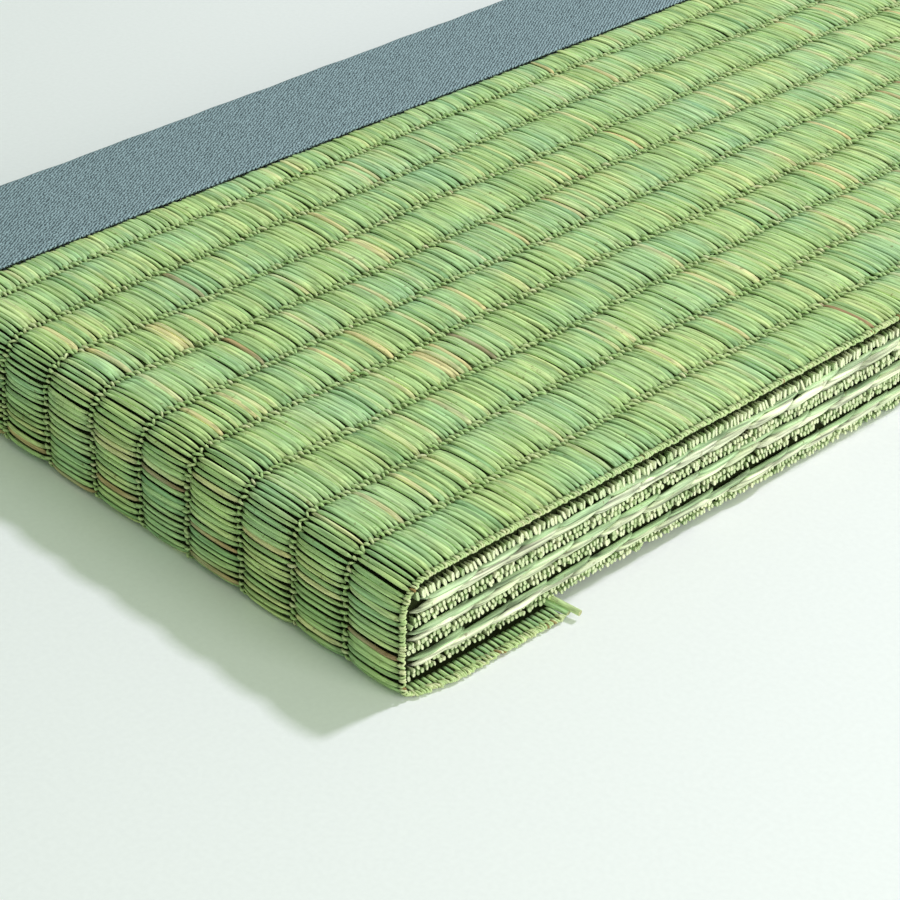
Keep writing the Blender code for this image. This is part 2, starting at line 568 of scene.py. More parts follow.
class Trees:
    """Short calls that build node trees."""

    def __init__(self, tree: bpy.types.NodeTree) -> None:
        """Keep the tree that the calls build."""
        self.tree = tree

    def feed(self, node: bpy.types.Node, feeds: dict) -> bpy.types.Node:
        """Give values or sockets to a node's inputs.

        Args:
            node: The node.
            feeds: Values or sockets by the name or number of the input.
        Returns:
            The node.
        """
        for label, value in feeds.items():
            if isinstance(value, Socket):
                self.tree.links.new(value, node.inputs[label])
            else:
                node.inputs[label].default_value = value
        return node

    def add(self, kind: str, feeds: dict | None = None, **settings: object) -> bpy.types.Node:
        """Add a node.

        Args:
            kind: The node's type.
            feeds: Values or sockets by the name or number of the input.
            settings: The node's own settings.
        Returns:
            The node.
        """
        node = self.tree.nodes.new(kind)
        for label, value in settings.items():
            setattr(node, label, value)
        return self.feed(node, feeds or {})

    def maths(self, operation: str, first: object, second: object = 0.5) -> Socket:
        """Return the result of a sum on two numbers or sockets."""
        return self.add("ShaderNodeMath", {0: first, 1: second}, operation=operation).outputs[0]

    def vectors(self, operation: str, feeds: dict) -> Socket:
        """Return the result of a sum on vectors."""
        return self.add("ShaderNodeVectorMath", feeds, operation=operation).outputs[0]

    def mix(self, factor: object, first: object, second: object, blend: str = "MIX") -> Socket:
        """Return a mix of two colours."""
        feeds = {0: factor, 6: first, 7: second}
        return self.add("ShaderNodeMix", feeds, data_type="RGBA", blend_type=blend).outputs[2]

    def noise(self, where: Socket, scale: float, detail: float = 2.0) -> Socket:
        """Return a noise's value at a place."""
        feeds = {"Vector": where, "Scale": scale, "Detail": detail}
        return self.add("ShaderNodeTexNoise", feeds).outputs["Fac"]

    def ranged(self, value: Socket, *limits: float) -> Socket:
        """Return a value moved from the first two limits' range to the last two's."""
        feeds = {0: value, **dict(enumerate(limits, start=1))}
        return self.add("ShaderNodeMapRange", feeds).outputs[0]

    def fact(self, name: str) -> Socket:
        """Return the value of a point attribute."""
        return self.add("ShaderNodeAttribute", attribute_name=name).outputs["Fac"]

    def grey(self, value: Socket) -> Socket:
        """Return a grey of the value's lightness."""
        return self.add("ShaderNodeCombineColor", {0: value, 1: value, 2: value}).outputs[0]


def new_finish(name: str) -> tuple[bpy.types.Material, Trees, bpy.types.Node]:
    """Start a material.

    Args:
        name: The material's name.
    Returns:
        The material, the calls that build its tree, and its shader.
    """
    material = bpy.data.materials.new(name)
    material.use_nodes = True
    return material, Trees(material.node_tree), material.node_tree.nodes["Principled BSDF"]


class Scatter:
    """Repeats a few small shapes over seeds, and returns one plain mesh object."""

    def __init__(self) -> None:
        """Build the Geometry Nodes tree once."""
        tree = bpy.data.node_groups.new("scatter_rushes", "GeometryNodeTree")
        faces = tree.interface
        plan = (
            ("Seeds", "NodeSocketGeometry"),
            ("Shapes", "NodeSocketCollection"),
            ("Wobble", "NodeSocketFloat"),
            ("Wobble Pitch", "NodeSocketFloat"),
            ("Finish", "NodeSocketMaterial"),
        )
        self.ids = {
            label: faces.new_socket(name=label, in_out="INPUT", socket_type=kind).identifier
            for label, kind in plan
        }
        faces.new_socket(name="Pieces", in_out="OUTPUT", socket_type="NodeSocketGeometry")
        make = Trees(tree)
        given = make.add("NodeGroupInput").outputs
        shapes = make.add(
            "GeometryNodeCollectionInfo",
            {"Collection": given["Shapes"], "Separate Children": True, "Reset Children": True},
        )
        kinds = {"turn": "FLOAT_VECTOR", "size": "FLOAT_VECTOR", "variant": "INT", "tone": "FLOAT"}
        turn, size, variant, tone = (
            make.add("GeometryNodeInputNamedAttribute", {"Name": label}, data_type=kind).outputs[0]
            for label, kind in kinds.items()
        )
        turned = make.add("FunctionNodeEulerToRotation", {0: turn})
        placed = make.add(
            "GeometryNodeInstanceOnPoints",
            {
                "Points": given["Seeds"],
                "Instance": shapes.outputs[0],
                "Pick Instance": True,
                "Instance Index": variant,
                "Rotation": turned.outputs[0],
                "Scale": size,
            },
        )
        real = make.add("GeometryNodeRealizeInstances", {0: placed.outputs[0]})
        where = make.add("GeometryNodeInputPosition").outputs[0]
        apart = make.vectors("DIVIDE", {0: where, 1: given["Wobble Pitch"]})
        moved = make.vectors("ADD", {0: apart, 1: make.maths("MULTIPLY", tone, 91.0)})
        noise = make.add("ShaderNodeTexNoise", {"Vector": moved, "Scale": 1.0, "Detail": 1.0})
        centred = make.vectors("SUBTRACT", {0: noise.outputs["Color"], 1: (0.5, 0.5, 0.5)})
        offset = make.vectors("SCALE", {0: centred, "Scale": given["Wobble"]})
        bent = make.add("GeometryNodeSetPosition", {"Geometry": real.outputs[0], "Offset": offset})
        dressed = make.add("GeometryNodeSetMaterial", {0: bent.outputs[0], "Material": given["Finish"]})
        ending = make.add("NodeGroupOutput")
        tree.links.new(dressed.outputs[0], ending.inputs[0])
        self.tree = tree

    def build(
        self,
        name: str,
        seeds: Seeds,
        shapes: Sequence[bpy.types.Mesh],
        finish: bpy.types.Material,
        wobble: float = 0.0,
        pitch: float = 0.012,
    ) -> bpy.types.Object:
        """Repeat the shapes over the seeds.

        Args:
            name: The piece's name.
            seeds: Where the shapes go.
            shapes: The small meshes, picked by each seed's variant.
            finish: The material.
            wobble: How far a point may move, in metres.
            pitch: Over what distance the movement changes.
        Returns:
            The plain mesh object.
        """
        shelf = bpy.data.collections.new(name + "_shapes")
        kept = []
        for index, shape in enumerate(shapes):
            item = bpy.data.objects.new(f"{name}_shape_{index:02d}", shape)
            shelf.objects.link(item)
            kept.append(item)
        holder = link(bpy.data.objects.new(name + "_seeds", seeds.mesh(name + "_seeds")))
        step = holder.modifiers.new("scatter", "NODES")
        step.node_group = self.tree
        for label, value in (
            ("Shapes", shelf),
            ("Wobble", 2 * wobble),
            ("Wobble Pitch", pitch),
            ("Finish", finish),
        ):
            step[self.ids[label]] = value
        graph = bpy.context.evaluated_depsgraph_get()
        made = bpy.data.meshes.new_from_object(holder.evaluated_get(graph))
        made.name = name
        for label in ("turn", "size", "variant"):
            if label in made.attributes:
                made.attributes.remove(made.attributes[label])
        bpy.data.objects.remove(holder, do_unlink=True)
        for item in kept:
            bpy.data.objects.remove(item, do_unlink=True)
        bpy.data.collections.remove(shelf)
        made.calc_loop_triangles()
        LOG.info("%s: %d shapes, %d triangles", name, len(seeds.places), len(made.loop_triangles))
        return link(bpy.data.objects.new(name, made))


@dataclass(frozen=True)
class RushFinish:
    """Dried rush: a ramp of tones for single rushes, fine ribs along each of them, and painted shade
    toward each rush's ends.
    """

    name: str
    stops: tuple[tuple[float, Triple], ...]
    cool: Triple
    cool_share: float = 0.35
    pith: Triple = (0.72, 0.66, 0.40)
    grain: Triple = (90.0, 2300.0, 2300.0)
    grain_depth: float = 0.22
    bump: float = 0.35
    roughness: float = 0.5
    shine: float = 0.35
    # Painted shade: how much darker a rush is painted at its ends, where it dives under its neighbours.
    end_shade: float = 0.35
    specks: float = 0.5

    def build(self) -> bpy.types.Material:
        """Build the finish.

        Returns:
            The material.
        """
        material, make, shader = new_finish(self.name)
        tone, along, pith = (make.fact(name) for name in ("tone", "along", "pith"))
        ramp = make.add("ShaderNodeValToRGB", {0: tone})
        bar = ramp.color_ramp.elements
        while len(bar) < len(self.stops):
            bar.new(0.5)
        for element, (place, colour) in zip(bar, self.stops):
            element.position = place
            element.color = (*colour, 1.0)
        where = make.add("ShaderNodeTexCoord").outputs["Object"]
        patch_share = make.ranged(make.noise(where, 48.0, 3.0), 0.42, 0.72, 0.0, self.cool_share)
        colour = make.mix(patch_share, ramp.outputs[0], (*self.cool, 1.0))
        stretched = make.add("ShaderNodeMapping", {"Vector": where, "Scale": self.grain})
        grain = make.noise(stretched.outputs[0], 1.0)
        light = make.ranged(grain, 0.3, 0.7, 1 - self.grain_depth, 1 + self.grain_depth * 0.6)
        # Painted shade: each rush darkens toward its ends, by end_shade, where it dives under a warp
        # thread or a crossing strand.
        edge = make.maths("POWER", make.maths("ABSOLUTE", along), 3.0)
        fade = make.maths("SUBTRACT", 1.0, make.maths("MULTIPLY", edge, self.end_shade))
        shade = make.maths("MULTIPLY", light, fade)
        colour = make.mix(1.0, colour, make.grey(shade), "MULTIPLY")
        spot_share = make.ranged(make.noise(where, 900.0), 0.66, 0.74, 0.0, self.specks)
        colour = make.mix(spot_share, colour, (0.16, 0.10, 0.03, 1.0))
        colour = make.mix(pith, colour, (*self.pith, 1.0))
        bump = make.add("ShaderNodeBump", {"Height": grain, "Strength": self.bump, "Distance": 0.00008})
        make.feed(shader, {"Base Color": colour, "Normal": bump.outputs[0]})
        make.feed(shader, {"Roughness": self.roughness, "Specular IOR Level": self.shine})
        return material


@dataclass(frozen=True)
class ClothFinish:
    """The border's closely ribbed cloth, drawn on its own flat map in metres."""

    name: str
    light: Triple
    dark: Triple
    rib_pitch: float
    slant: float
    roughness: float

    def turned(self, make: Trees, flat: Socket, turn: float) -> Socket:
        """Return the cloth's flat map, turned by an angle."""
        return make.add("ShaderNodeMapping", {"Vector": flat, "Rotation": (0.0, 0.0, turn)}).outputs[0]

    def build(self) -> bpy.types.Material:
        """Build the finish.

        Returns:
            The material.
        """
        material, make, shader = new_finish(self.name)
        flat = make.add("ShaderNodeUVMap", uv_map="flat").outputs[0]
        ribs, threads = (
            make.add(
                "ShaderNodeTexWave",
                {
                    "Vector": self.turned(make, flat, self.slant + turn),
                    "Scale": scale / self.rib_pitch,
                    **feeds,
                },
                wave_profile="SIN",
            ).outputs["Fac"]
            for turn, scale, feeds in (
                (0.0, 0.314, {"Distortion": 4.5, "Detail": 3.0, "Detail Scale": 2.2}),
                (-1.2, 0.6, {"Distortion": 2.5, "Detail": 2.0}),
            )
        )
        weave = make.maths("ADD", make.maths("MULTIPLY", ribs, 0.7), make.maths("MULTIPLY", threads, 0.3))
        fleck = make.maths("ADD", weave, make.maths("MULTIPLY", make.noise(flat, 350.0), 0.3))
        fleck = make.maths("ADD", fleck, make.maths("MULTIPLY", make.noise(flat, 1500.0), 1.3))
        share = make.ranged(fleck, 0.95, 1.65, 0.0, 1.0)
        colour = make.mix(share, (*self.dark, 1.0), (*self.light, 1.0))
        bump = make.add("ShaderNodeBump", {"Height": weave, "Strength": 0.6, "Distance": 0.00015})
        make.feed(shader, {"Base Color": colour, "Normal": bump.outputs[0], "Roughness": self.roughness})
        make.feed(shader, {"Specular IOR Level": 0.2, "Sheen Weight": 0.08})
        return material


GREEN_STOPS: tuple[tuple[float, Triple], ...] = (
    (0.0, (0.31, 0.50, 0.22)),
    (0.25, (0.45, 0.64, 0.28)),
    (0.55, (0.57, 0.74, 0.32)),
    (0.75, (0.70, 0.79, 0.36)),
    (0.86, (0.80, 0.80, 0.41)),
    (0.93, (0.80, 0.67, 0.32)),
    (1.0, (0.42, 0.27, 0.15)),
)
COVER_RUSH = RushFinish(
    "cover_rush",
    GREEN_STOPS,
    (0.37, 0.67, 0.46),
    cool_share=0.45,
    grain_depth=0.42,
    bump=0.9,
    roughness=0.66,
    shine=0.1,
    end_shade=0.28,
)
KNOT_RUSH = RushFinish(
    "knot_rush",
    (
        (0.0, (0.46, 0.64, 0.27)),
        (0.5, (0.62, 0.72, 0.37)),
        (0.9, (0.80, 0.77, 0.50)),
        (1.0, (0.34, 0.22, 0.09)),
    ),
    (0.46, 0.68, 0.36),
    grain=(2600.0, 300.0, 2600.0),
    end_shade=0.3,
    shine=0.14,
)
CORE_ENDS = RushFinish(
    "core_cross_rush",
    (
        (0.0, (0.28, 0.41, 0.17)),
        (0.4, (0.52, 0.66, 0.33)),
        (0.8, (0.86, 0.91, 0.60)),
        (1.0, (0.93, 0.93, 0.66)),
    ),
    (0.42, 0.60, 0.34),
    cool_share=0.2,
    end_shade=0.0,
    pith=(0.97, 0.97, 0.74),
    shine=0.14,
)
CORE_STRANDS = RushFinish(
    "core_long_rush",
    (
        (0.0, (0.42, 0.60, 0.32)),
        (0.5, (0.62, 0.77, 0.48)),
        (0.55, (0.78, 0.84, 0.56)),
        (1.0, (0.92, 0.92, 0.70)),
    ),
    (0.52, 0.74, 0.52),
    cool_share=0.2,
    grain=(900.0, 70.0, 1900.0),
    grain_depth=0.75,
    bump=0.8,
    end_shade=0.45,
    shine=0.14,
)
# Painted shade: a near-black to dark olive finish for the cover's backing and the core's bodies, standing
# for the shade seen in the gaps between rushes.
PAINTED_SHADE_RUSH = RushFinish(
    "dark_rush",
    ((0.0, (0.02, 0.026, 0.009)), (1.0, (0.2, 0.27, 0.1))),
    (0.02, 0.035, 0.014),
    cool_share=0.1,
    end_shade=0.0,
    roughness=0.9,
    shine=0.05,
    specks=0.0,
)
BORDER_CLOTH = ClothFinish("border_cloth", (0.345, 0.47, 0.53), (0.045, 0.07, 0.088), 0.0007, 0.54, 0.9)
# Partly painted shade: the stitches' near-black thread also stands for the shade in the small gaps where
# the border's edge presses on the rushes.
STITCHES = RushFinish(
    "dark_thread",
    ((0.0, (0.012, 0.016, 0.02)), (1.0, (0.03, 0.04, 0.045))),
    (0.02, 0.03, 0.03),
    end_shade=0.0,
    roughness=0.8,
    shine=0.1,
    specks=0.0,
)


@dataclass
class RushCover:
    """The woven cover: its rushes, warp knots and selvedge, and a backing sheet in painted shade that
    shows in the gaps between the rushes.
    """

    sizes: MatSizes
    line: CoverLine
    scatter: Scatter
    chance: Chance
    rush: bpy.types.Material
    knot: bpy.types.Material
    dark: bpy.types.Material
    fold_squeeze: float = 0.86
    rush_half_width: float = 0.00061
    rush_half_depth: float = 0.00029
    rush_rise: float = 0.00086
    rush_dive: float = 0.0003
    rush_variants: int = 12
    columns: int = 12
    last_face_column: int = 9
    selvedge_pitch: float = 0.0005
    # Painted shade: how far into the top face the backing lightens from black at the folds.
    backing_fade: float = 0.012

    def backing(self) -> bpy.types.Object:
        """Build the sheet that the rushes lie on, as one closed shell.

        Returns:
            The sheet, in painted shade: black on the folds, the ends and the flaps, and lightening to dark
                olive over the top face away from the folds.
        """
        sizes, line = self.sizes, self.line
        marks = line.marks()
        stops: list[float] = []
        for index, (start, end) in enumerate(zip(marks, marks[1:])):
            count = 5 if index in (1, 3, 5, 7) else max(1, round((end - start) / 0.01))
            stops += [start + (end - start) * i / count for i in range(count)]
        stops.append(marks[-1])
        across = np.linspace(sizes.half_width - 0.0012, 0.0015 - sizes.half_width, 60)
        points: list[Triple] = []
        count = len(across)
        shade: list[float] = []
        for stop in stops:
            station, flare = line.at(stop), line.flare(stop)
            # Painted shade: the backing's tone is 0 (black) up to the upper folds, and rises to 1 (dark
            # olive) over backing_fade into the top face.
            inward = min(stop - marks[4], marks[5] - stop)
            shade += [min(1.0, max(0.0, inward / self.backing_fade))] * (2 * count)
            depth = sizes.cover_thickness - (0.0003 if station.turn == math.pi else 0.0)
            for offset in (-0.0006, -depth):
                y, z = station.out(offset)
                points += [(x + flare * max(x - 0.06, 0.0) / 0.0273, y, z) for x in across]
        faces = []
        ring = 2 * count
        for a in range(0, (len(stops) - 1) * ring, ring):
            b = a + ring
            for i in range(count - 1):
                faces.append((a + i, b + i, b + i + 1, a + i + 1))
                faces.append((a + count + i + 1, b + count + i + 1, b + count + i, a + count + i))
            faces.append((a + count, b + count, b, a))
            faces.append((a + count - 1, b + count - 1, b + ring - 1, a + ring - 1))
        last = (len(stops) - 1) * ring
        for i in range(count - 1):
            faces.append((i + 1, count + i + 1, count + i, i))
            faces.append((last + i, last + count + i, last + count + i + 1, last + i + 1))
        facts = {"tone": np.array(shade)}
        return piece_of(mesh_of("cover_backing", np.array(points), faces, facts, smooth=False), self.dark)

    def float_shapes(self) -> list[bpy.types.Mesh]:
        """Build variants of one rush between two warp lines, arched upward.

        Returns:
            The variants, along X.
        """
        shapes = []
        vary = self.chance.between
        reach = self.sizes.warp_pitch * 0.955 / 2
        for index in range(self.rush_variants):
            part = np.linspace(-1, 1, 9)
            part = np.sign(part) * np.abs(part) ** 0.72
            arch = 1 - np.abs(part) ** vary(2.4, 4.4)
            crown = self.rush_rise - self.rush_half_depth
            height = -self.rush_dive + (crown + self.rush_dive) * arch
            height += vary(-0.0001, 0.0001) * part
            bow = vary(-0.00014, 0.00014) * arch
            lean = vary(-0.00016, 0.00016) * part
            slim = 0.4 + 0.6 * arch ** vary(0.3, 0.6)
            taper = 1 + vary(-0.22, 0.22) * part
            girths = self.rush_half_width * slim * taper, self.rush_half_depth * (0.75 + 0.25 * arch)
            shapes.append(tube(f"rush_{index}", (part * reach, bow + lean, height), girths, 6, square=0.5))
        return shapes

    def tone(self, on_end: bool) -> float:
        """Return the tone of one rush: mostly green, and tan or brown more often on the ends.

        Args:
            on_end: Whether the rush lies on an end face.
        Returns:
            Its place on the finish's ramp, from 0 to 1.
        """
        pick = self.chance.share() + (0.05 if on_end else 0.0)
        if pick > 0.997:
            return self.chance.between(0.95, 1.0)
        if pick > 0.965:
            return self.chance.between(0.86, 0.93)
        return self.chance.near(0.44, 0.24 if on_end else 0.17, 0.0, 0.86)

    def width_share(self, distance: float, zone: Zone) -> float:
        """Return how wide a rush is: slim on the folds, so that dark gaps show, and full on the face.

        Args:
            distance: The rush's place along the line.
            zone: The part of the line that it lies on.
        Returns:
            Its share of the usual width.
        """
        marks = self.line.marks()
        if min(abs(distance - marks[3]), abs(distance - marks[6])) < 0.0013:
            return self.chance.between(1.0, 1.15)
        if zone is Zone.FOLD:
            return self.chance.near(0.77, 0.08, 0.64, 0.95)
        if zone is Zone.END:
            return self.chance.near(0.87, 0.17, 0.64, 1.2)
        return self.chance.near(1.1, 0.14, 0.75, 1.4)

    def rushes(self) -> list[bpy.types.Object]:
        """Build the rushes of the face, the ends and the flaps.

        Returns:
            The near half and the far half.
        """
        line, sizes, near = self.line, self.sizes, self.chance.near
        shapes = self.float_shapes()
        halves = {"cover_rushes_near": Seeds(), "cover_rushes_far": Seeds()}
        for column in range(self.columns):
            start = sizes.rush_pitch / 2 * (column % 2)
            for distance in line.rows(sizes.rush_pitch, self.fold_squeeze, start):
                zone = line.zone(distance)
                on_flap = zone is Zone.FLAP
                if column > self.last_face_column and not on_flap:
                    continue
                inner = line.valley_x(column, distance)
                outer = line.valley_x(column + 1, distance)
                beside_border = column == self.last_face_column and not on_flap
                if beside_border:
                    outer = sizes.border_inner_x - 0.001
                if column == self.columns - 1:
                    outer = 0.0016 - sizes.half_width
                station = line.at(distance + near(0, 0.00011 if zone is Zone.FACE else 0.00005))
                tall = (0.5 + 0.5 * station.share) * self.chance.between(0.93, 1.04)
                tall *= 0.85 if beside_border else 1.0
                lift = sizes.rib_height * (station.share - tall) if station.share < 1 else 0.0
                lift -= 0.00014 if on_flap else 0.0
                y, z = station.out(lift + near(0, 0.00003 if on_flap else 0.00008))
                wide = self.width_share(distance, zone)
                half = halves["cover_rushes_near" if distance < line.length / 2 else "cover_rushes_far"]
                half.add(
                    ((inner + outer) / 2, y, z),
                    (station.turn, 0.0, near(0, 0.009)),
                    ((inner - outer) / sizes.warp_pitch, wide, tall),
                    self.chance.under(self.rush_variants),
                    self.tone(zone is Zone.END),
                )
        return [
            self.scatter.build(name, seeds, shapes, self.rush, 0.00012, 0.009)
            for name, seeds in halves.items()
        ]

    def knots(self) -> bpy.types.Object:
        """Build the warp thread's knots in the valleys, one to each row of rushes.

        Returns:
            The knots of all the valleys.
        """
        line, sizes, near = self.line, self.sizes, self.chance.near
        part = np.linspace(-1, 1, 5)
        height = 0.00046 * np.cos(part * np.pi / 2) - 0.00036
        girths = 0.00032 * (1 - 0.35 * part**2), 0.0003 * (1 - 0.3 * part**2)
        shapes = [
            tube(f"knot_{i}", (part * 0.00112, part * 0.0001 * (i - 1), height), girths, 6, square=0.8)
            for i in range(3)
        ]
        seeds = Seeds()
        for column in range(1, self.columns):
            for row, distance in enumerate(line.rows(sizes.rush_pitch, self.fold_squeeze)):
                zone = line.zone(distance)
                on_flap, bent = zone is Zone.FLAP, zone is not Zone.FACE
                if column > self.last_face_column and not on_flap:
                    continue
                station = line.at(distance)
                side = 1 if row % 2 else -1
                swing = 0.00006 if bent else 0.00018
                sway = side * swing + near(0, swing)
                y, z = station.out(-0.00022 if on_flap else near(0.00006, 0.00014))
                turn = (0.4 * side if bent else 0.3) + near(0, 0.22)
                size = (
                    (0.8 if bent else 1.0) * self.chance.between(0.7, 1.25),
                    self.chance.between(0.75, 1.15),
                    0.35 + 0.75 * station.share if bent else 1.0,
                )
                variant = self.chance.under(3)
                tone = near(0.34 if bent else 0.3, 0.24, 0, 0.95)
                place = line.valley_x(column, distance) + sway, y, z
                seeds.add(place, (station.turn, 0.0, turn), size, variant, tone)
        return self.scatter.build("warp_knots", seeds, shapes, self.knot, 0.00008, 0.004)

    def selvedge(self) -> bpy.types.Object:
        """Build the small loops in which the rushes turn round the last warp thread.

        Returns:
            The loops along the whole open edge.
        """
        line, sizes, near = self.line, self.sizes, self.chance.near
        turn = np.radians(np.linspace(125, -125, 8))
        girth = np.array([0.00018, *[0.00024] * 6, 0.00018])
        shapes = []
        for index in range(5):
            reach = 0.00058 + 0.00004 * index
            path = reach * np.cos(turn), 0.00016 * (index - 2) * np.sin(turn), 0.00036 * np.sin(turn)
            shapes.append(tube(f"loop_{index}", path, (girth, girth), 5))
        seeds = Seeds()
        for distance in line.rows(self.selvedge_pitch, 1.0):
            station = line.at(distance)
            rise = 0.00056 * station.share - 0.00018
            y, z = station.out(rise - sizes.cover_thickness / 2 + near(0, 0.00006))
            brown = self.chance.share() > 0.975
            x = sizes.half_width - 0.00115 + line.flare(distance) + near(0, 0.00008)
            turned = station.turn, near(0, 0.1), near(0.35, 0.15)
            long = 1.5 if station.turn == math.pi else 1.0
            size = long, self.chance.between(0.8, 1.15), self.chance.between(0.85, 1.1)
            variant = self.chance.under(5)
            tone = 1.0 if brown else self.chance.between(0.2, 0.75)
            seeds.add((x, y, z), turned, size, variant, tone)
        return self.scatter.build("selvedge_loops", seeds, shapes, self.knot, 0.0001, 0.003)

    def flap_inside(self) -> bpy.types.Object:
        """Build the rushes on the flaps' upper side, where they reach out past the core.

        Returns:
            The rushes of both flaps.
        """
        line, sizes = self.line, self.sizes
        part = np.linspace(-1, 1, 5)
        half_long = 0.0046
        shapes = []
        for index in range(4):
            path = half_long * part, 0.0001 * (index - 1.5) * (1 - part**2), 0.00012 * (1 - part**2)
            shapes.append(tube(f"strip_{index}", path, (0.00056, 0.00022), 6, square=0.5))
        seeds = Seeds()
        marks = line.marks()
        for distance in line.rows(sizes.rush_pitch, 1.0):
            if marks[1] + 0.0006 < distance < marks[8] - 0.0006:
                continue
            station = line.at(distance)
            y, z = station.out(0.00034 - sizes.cover_thickness)
            outer = sizes.half_width + line.flare(distance) - 0.0012
            inner = min(sizes.half_width - 0.0016, outer - 0.0026)
            turned = station.turn + math.pi, 0.0, self.chance.near(0, 0.03)
            long = (outer - inner) / (2 * half_long)
            size = long, self.chance.between(0.6, 0.9), self.chance.between(0.8, 1.2)
            variant = self.chance.under(4)
            tone = self.chance.near(0.25, 0.2, 0.0, 0.86)
            seeds.add(((inner + outer) / 2, y, z), turned, size, variant, tone)
        return self.scatter.build("flap_inside_rushes", seeds, shapes, self.rush, 0.0001, 0.009)


@dataclass
class RushCore:
    """The stacked rush mats of the core, with their cut ends and plaited strands."""

    sizes: MatSizes
    scatter: Scatter
    chance: Chance
    ends: bpy.types.Material
    strands: bpy.types.Material
    rush: bpy.types.Material
    dark: bpy.types.Material
    usual_depth: float = 0.0029
    row_offset: float = 0.22
    strand_shift: float = 0.0037

    def span(self, level: int, y: float) -> tuple[float, float]:
        """Return the heights of a layer's underside and top at a place along the mat.

        Args:
            level: The layer's number, from 0 at the bottom.
            y: The place along the mat.
        Returns:
            The two heights.
        """
        low = self.sizes.core_floor(y)
        depth = (self.sizes.core_top - low) / len(LAYERS)
        lift = self.sizes.seat / 2 if level else 0.0
        drop = self.sizes.seat / 2 if level < len(LAYERS) - 1 else 0.0
        return low + depth * level + lift, low + depth * (level + 1) - drop

    def slab(self, level: int) -> bpy.types.Object:
        """Build the body of one layer, as one closed sheet behind its open edge, near black as painted
        shade in the gaps between the edge's rushes.

        Args:
            level: The layer's number.
        Returns:
            The sheet.
        """
        plan = LAYERS[level]
        reach = self.sizes.half_length - plan.end_recess
        left = 0.0015 - self.sizes.half_width
        right = self.sizes.half_width - plan.side_recess - 0.0014
        points = []
        stops = np.linspace(-reach, reach, 65)
        for y in stops:
            bottom, high = self.span(level, float(y))
            low = bottom + 0.0002 * (level == 0)
            bulge = right + 0.0003, y, (low + high) / 2
            points += [(left, y, low), (right, y, low), bulge, (right, y, high), (left, y, high)]
        faces = ring_faces(len(stops), 5)
        mesh = mesh_of(f"core_mat_{level + 1}", np.array(points), faces, smooth=False)
        mesh.flip_normals()
        # Painted shade: the body takes the near-black finish, as the shade between its edge's rushes.
        return piece_of(mesh, self.dark)

    def tooth_shapes(self, half_height: float, half_width: float) -> list[bpy.types.Mesh]:
        """Return upright flattened rush ends that point to +X, blunt at the front.

        Args:
            half_height: Half of their height.
            half_width: Half of their width along the mat.
        Returns:
            Five variants.
        """
        line = (-0.0022, -0.0005, -0.0001, 0.0), 0.0, 0.0
        wide_steps = np.array((0.3, 0.8, 1.0, 0.94))
        tall_steps = np.array((0.9, 1.0, 0.98, 0.94))
        shapes = []
        for index in range(5):
            wide = wide_steps * (half_width * (1.12 - 0.06 * index))
            tall = tall_steps * (half_height * (0.9 + 0.05 * index))
            pith = 0.25 + 0.13 * index
            shapes.append(tube(f"tooth_{index}", line, (wide, tall), 8, pith=pith, square=0.75))
        return shapes

    def cross_ends(self, level: int) -> bpy.types.Object:
        """Build the ends of one layer whose rushes run across the mat.

        Args:
            level: The layer's number.
        Returns:
            The ends: one row at the top of the core, and two rows below it.
        """
        plan, near = LAYERS[level], self.chance.near
        reach = self.sizes.half_length - plan.end_recess + 0.0004
        top_level = level == len(LAYERS) - 1
        edge = self.sizes.half_width - plan.side_recess + (0.0003 if top_level else 0.0001)
        seeds = Seeds()
        tone = {6: 0.7, 4: 0.58, 2: 0.48, 0: 0.52}[level]
        rows = ((-self.row_offset, 0.00107), (self.row_offset, 0.00103))
        for share, spacing in ((0.0, 0.00108),) if top_level else rows:
            for index in range(int(2 * reach / spacing)):
                y = -reach + (index + 0.5) * spacing + near(0, 0.00013)
                if not top_level and self.chance.share() < 0.03:
                    continue
                bottom, top = self.span(level, y)
                scale = plan.tall * (top - bottom) / self.usual_depth
                lean = near(0, 0.13) - 0.2
                x = edge + near(0, 0.00013)
                z = bottom + (top - bottom) * (plan.middle + share) + near(0, 0.00008)
                turned = -lean, near(0, 0.1), near(0, 0.12)
                size = 1.0, self.chance.between(0.75, 1.25), scale * self.chance.between(0.86, 1.06)
                seeds.add((x, y, z), turned, size, self.chance.under(5), near(tone, 0.26, 0, 1))
        shapes = self.tooth_shapes(*((0.00112, 0.00034) if top_level else (0.00068, 0.00035)))
        return self.scatter.build(f"core_ends_{level + 1}", seeds, shapes, self.ends, 0.0001, 0.002)

    def strand_shapes(self) -> list[bpy.types.Mesh]:
        """Build plaited strands along Y.

        Returns:
            Four pale ones that cross, then four green ones.
        """
        part = np.linspace(-1, 1, 14)
        swell = np.clip(1 - np.abs(part) ** 4.0, 0.0, 1.0)
        deep = 0.0006 * (0.35 + 0.65 * swell)
        plans = ((0.0072, 0.0007, 0.0, -0.0005, 0.00098), (0.0068, 0.00025, 0.00025, 0.00066, 0.00082))
        shapes = []
        for kind, (reach, climb, inset, rise, tall) in enumerate(plans):
            for index in range(4):
                steep = climb * (1 + 0.15 * ((4 * kind + index) % 3))
                line = (
                    -0.0009 + 0.00115 * swell**0.6 - inset,
                    part * (reach + 0.0003 * index),
                    steep * np.sin(part * np.pi / 2) ** 3 + rise,
                )
                girths = tall * (0.2 + 0.8 * swell), deep
                shapes.append(tube(f"strand_{4 * kind + index}", line, girths, 8, (0, 0, 1)))
        return shapes

